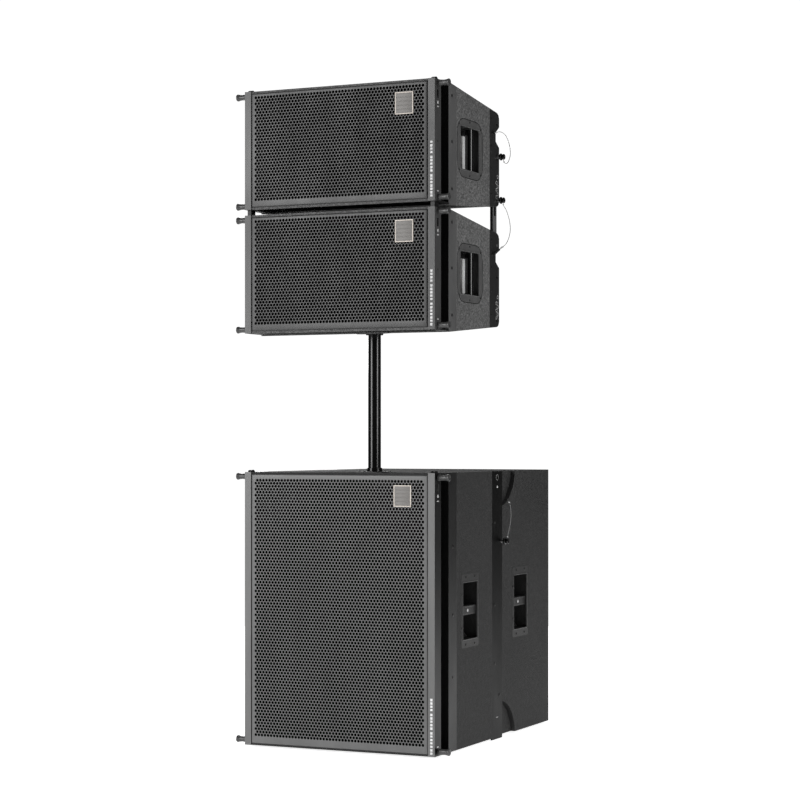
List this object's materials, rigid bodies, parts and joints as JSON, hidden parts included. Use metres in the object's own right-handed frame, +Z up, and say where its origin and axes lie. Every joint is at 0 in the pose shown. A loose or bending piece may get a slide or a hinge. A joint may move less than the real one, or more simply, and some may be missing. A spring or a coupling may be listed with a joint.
{
  "type": "line array speaker",
  "caption": "Line array loudspeaker set: tapered array boxes joined by rigging hardware, swivelling on a pole above a large subwoofer cabinet.",
  "frame": {"origin": "centre of the subwoofer's footprint, at floor level under its feet", "axes": "+Z up, -Y out of the front grilles, +X to the right seen from the front"},
  "size_m": [0.628, 0.824, 1.77],
  "materials": {
    "array_paint": "black structured coating on plywood",
    "sub_paint": "darker black structured coating on plywood",
    "bare_board": "matt black",
    "grille_steel": "dark grey powder coat",
    "rigging_steel": "black satin coat",
    "moulding": "black",
    "grip_bar": "glossy black",
    "chassis": "black",
    "paper_cone": "matt black",
    "horn_mould": "black",
    "bare_steel": "brushed",
    "badge_metal": "brushed with a cream border",
    "pole_gloss": "glossy black",
    "foot_rubber": "matt",
    "pin_black": "black",
    "wire": "steel wire"
  },
  "bodies": {
    "sub": {"sub_cabinet": "sub_paint", "sub_side_panels": "sub_paint", "sub_baffle": "bare_board", "sub_grille": "grille_steel", "sub_rigging": "rigging_steel", "sub_handles": "moulding", "sub_basket": "chassis", "sub_panel": "moulding", "sub_pole_plate": "bare_steel", "sub_feet": "foot_rubber", "sub_badge": "badge_metal", "pole": "pole_gloss"},
    "low_box": {"low_cabinet": "array_paint", "low_baffle": "bare_board", "low_grille": "grille_steel", "low_frames": "rigging_steel", "low_plates": "rigging_steel", "low_handles": "moulding", "low_grips": "grip_bar", "low_basket": "chassis", "low_horn": "horn_mould", "low_panel": "moulding", "low_badge": "badge_metal", "low_links": "bare_steel", "low_pole_cup": "bare_steel"},
    "top_box": {"top_cabinet": "array_paint", "top_baffle": "bare_board", "top_grille": "grille_steel", "top_frames": "rigging_steel", "top_plates": "rigging_steel", "top_handles": "moulding", "top_grips": "grip_bar", "top_basket": "chassis", "top_horn": "horn_mould", "top_panel": "moulding", "top_badge": "badge_metal"},
    "sub_cone": {"sub_cone": "paper_cone"},
    "low_cone": {"low_cone": "paper_cone"},
    "top_cone": {"top_cone": "paper_cone"},
    "knob_sub_bot_r": {"knob_sub_bot_r": "bare_steel"},
    "knob_sub_bot_l": {"knob_sub_bot_l": "bare_steel"},
    "knob_sub_top_r": {"knob_sub_top_r": "bare_steel"},
    "knob_sub_top_l": {"knob_sub_top_l": "bare_steel"},
    "knob_low_bot_r": {"knob_low_bot_r": "bare_steel"},
    "knob_low_bot_l": {"knob_low_bot_l": "bare_steel"},
    "knob_low_top_r": {"knob_low_top_r": "bare_steel"},
    "knob_low_top_l": {"knob_low_top_l": "bare_steel"},
    "knob_top_bot_r": {"knob_top_bot_r": "bare_steel"},
    "knob_top_bot_l": {"knob_top_bot_l": "bare_steel"},
    "knob_top_top_r": {"knob_top_top_r": "bare_steel"},
    "knob_top_top_l": {"knob_top_top_l": "bare_steel"},
    "pin_sub_r": {"pin_sub_r": "pin_black", "cord_sub": "wire"},
    "pin_sub_l": {"pin_sub_l": "pin_black"},
    "pin_link_r": {"pin_link_r": "pin_black", "cord_link": "wire"},
    "pin_link_l": {"pin_link_l": "pin_black"},
    "pin_park_r": {"pin_park_r": "pin_black", "cord_park": "wire"},
    "pin_park_l": {"pin_park_l": "pin_black"}
  },
  "joints": [
    {"name": "array_swivel", "type": "hinge", "parent": "sub", "child": "low_box", "pos_m": [0, -0.185, 1.113], "axis": [0, 0, 1], "continuous": true},
    {"name": "top_box_splay", "type": "hinge", "parent": "low_box", "child": "top_box", "pos_m": [0, -0.39, 1.457], "axis": [-1, 0, 0], "range_deg": [0, 5]},
    {"name": "sub_cone_stroke", "type": "slide", "parent": "sub", "child": "sub_cone", "axis": [0, -1, 0], "range_m": [-0.006, 0.006], "stiffness_N_per_m": 6000},
    {"name": "low_cone_stroke", "type": "slide", "parent": "low_box", "child": "low_cone", "axis": [0, -1, 0], "range_m": [-0.004, 0.004], "stiffness_N_per_m": 3000},
    {"name": "top_cone_stroke", "type": "slide", "parent": "top_box", "child": "top_cone", "axis": [0, -1, 0], "range_m": [-0.004, 0.004], "stiffness_N_per_m": 3000},
    {"name": "knob_sub_bot_r_pull", "type": "slide", "parent": "sub", "child": "knob_sub_bot_r", "axis": [1, 0, 0], "range_m": [0, 0.018], "stiffness_N_per_m": 400, "springref_m": -0.004},
    {"name": "knob_sub_bot_l_pull", "type": "slide", "parent": "sub", "child": "knob_sub_bot_l", "axis": [-1, 0, 0], "range_m": [0, 0.018], "stiffness_N_per_m": 400, "springref_m": -0.004},
    {"name": "knob_sub_top_r_pull", "type": "slide", "parent": "sub", "child": "knob_sub_top_r", "axis": [1, 0, 0], "range_m": [0, 0.018], "stiffness_N_per_m": 400, "springref_m": -0.004},
    {"name": "knob_sub_top_l_pull", "type": "slide", "parent": "sub", "child": "knob_sub_top_l", "axis": [-1, 0, 0], "range_m": [0, 0.018], "stiffness_N_per_m": 400, "springref_m": -0.004},
    {"name": "knob_low_bot_r_pull", "type": "slide", "parent": "low_box", "child": "knob_low_bot_r", "axis": [1, 0, 0], "range_m": [0, 0.018], "stiffness_N_per_m": 400, "springref_m": -0.004},
    {"name": "knob_low_bot_l_pull", "type": "slide", "parent": "low_box", "child": "knob_low_bot_l", "axis": [-1, 0, 0], "range_m": [0, 0.018], "stiffness_N_per_m": 400, "springref_m": -0.004},
    {"name": "knob_low_top_r_pull", "type": "slide", "parent": "low_box", "child": "knob_low_top_r", "axis": [1, 0, 0], "range_m": [0, 0.018], "stiffness_N_per_m": 400, "springref_m": -0.004},
    {"name": "knob_low_top_l_pull", "type": "slide", "parent": "low_box", "child": "knob_low_top_l", "axis": [-1, 0, 0], "range_m": [0, 0.018], "stiffness_N_per_m": 400, "springref_m": -0.004},
    {"name": "knob_top_bot_r_pull", "type": "slide", "parent": "top_box", "child": "knob_top_bot_r", "axis": [1, 0, 0], "range_m": [0, 0.018], "stiffness_N_per_m": 400, "springref_m": -0.004},
    {"name": "knob_top_bot_l_pull", "type": "slide", "parent": "top_box", "child": "knob_top_bot_l", "axis": [-1, 0, 0], "range_m": [0, 0.018], "stiffness_N_per_m": 400, "springref_m": -0.004},
    {"name": "knob_top_top_r_pull", "type": "slide", "parent": "top_box", "child": "knob_top_top_r", "axis": [1, 0, 0], "range_m": [0, 0.018], "stiffness_N_per_m": 400, "springref_m": -0.004},
    {"name": "knob_top_top_l_pull", "type": "slide", "parent": "top_box", "child": "knob_top_top_l", "axis": [-1, 0, 0], "range_m": [0, 0.018], "stiffness_N_per_m": 400, "springref_m": -0.004},
    {"name": "pin_sub_r_pull", "type": "slide", "parent": "sub", "child": "pin_sub_r", "axis": [1, 0, 0], "range_m": [0, 0.03]},
    {"name": "pin_sub_l_pull", "type": "slide", "parent": "sub", "child": "pin_sub_l", "axis": [-1, 0, 0], "range_m": [0, 0.03]},
    {"name": "pin_link_r_pull", "type": "slide", "parent": "top_box", "child": "pin_link_r", "axis": [1, 0, 0], "range_m": [0, 0.03]},
    {"name": "pin_link_l_pull", "type": "slide", "parent": "top_box", "child": "pin_link_l", "axis": [-1, 0, 0], "range_m": [0, 0.03]},
    {"name": "pin_park_r_pull", "type": "slide", "parent": "top_box", "child": "pin_park_r", "axis": [1, 0, 0], "range_m": [0, 0.03]},
    {"name": "pin_park_l_pull", "type": "slide", "parent": "top_box", "child": "pin_park_l", "axis": [-1, 0, 0], "range_m": [0, 0.03]}
  ]
}
